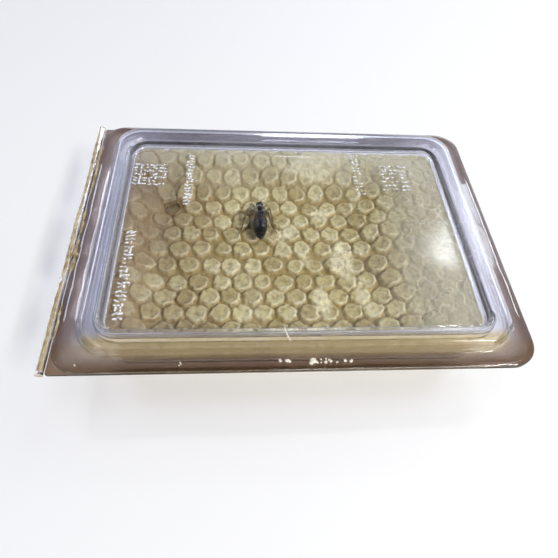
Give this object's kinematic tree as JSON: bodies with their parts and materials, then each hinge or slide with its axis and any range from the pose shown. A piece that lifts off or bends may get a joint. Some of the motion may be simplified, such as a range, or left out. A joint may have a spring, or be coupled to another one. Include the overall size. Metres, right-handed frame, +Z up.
{
  "type": "queen cage",
  "caption": "Clear hinged plastic cage holding a slab of capped half comb with a queen bee walking on it under the window.",
  "frame": {"origin": "bottom centre of the closed cage, on the underside of the tray floor", "axes": "+Z up, +Y from the front edge to the back, +X to the right, with the hinge along the left side at -X"},
  "size_m": [0.1072, 0.0764, 0.0178],
  "materials": {
    "clear_plastic": "clear glossy moulded plastic, faint lavender tint in the thick parts",
    "frosted_plastic": "raised moulded dashes that catch the light",
    "comb_wax": "tan beeswax, soft satin",
    "capping_wax": "pale cream beeswax, dry and slightly wrinkled",
    "honey": "amber honey, wet gloss",
    "queen_body": "polished near-black shell",
    "queen_limb": "amber brown, satin",
    "queen_wing": "thin veined film",
    "propolis": "sticky golden brown resin"
  },
  "bodies": {
    "tray_body": {"tray": "clear_plastic", "hinge_fold": "clear_plastic", "comb_midrib": "comb_wax", "comb_cell_walls": "comb_wax", "honey_fill": "honey", "comb_cappings": "capping_wax", "raised_comb": "capping_wax", "queen_thorax": "queen_body", "queen_head": "queen_body", "queen_abdomen": "queen_body", "queen_front_legs": "queen_limb", "queen_middle_legs": "queen_limb", "queen_hind_legs": "queen_limb", "queen_antennae": "queen_limb", "queen_wings": "queen_wing"},
    "lid_body": {"lid": "clear_plastic", "moulded_marks": "frosted_plastic", "wax_crumbs": "capping_wax", "wax_sliver": "capping_wax", "propolis_smears": "propolis"}
  },
  "joints": [
    {"name": "lid_hinge", "type": "hinge", "parent": "tray_body", "child": "lid_body", "pos_m": [-0.05273, 0, 0.01328], "axis": [0, -1, 0], "range_deg": [0, 180]}
  ]
}
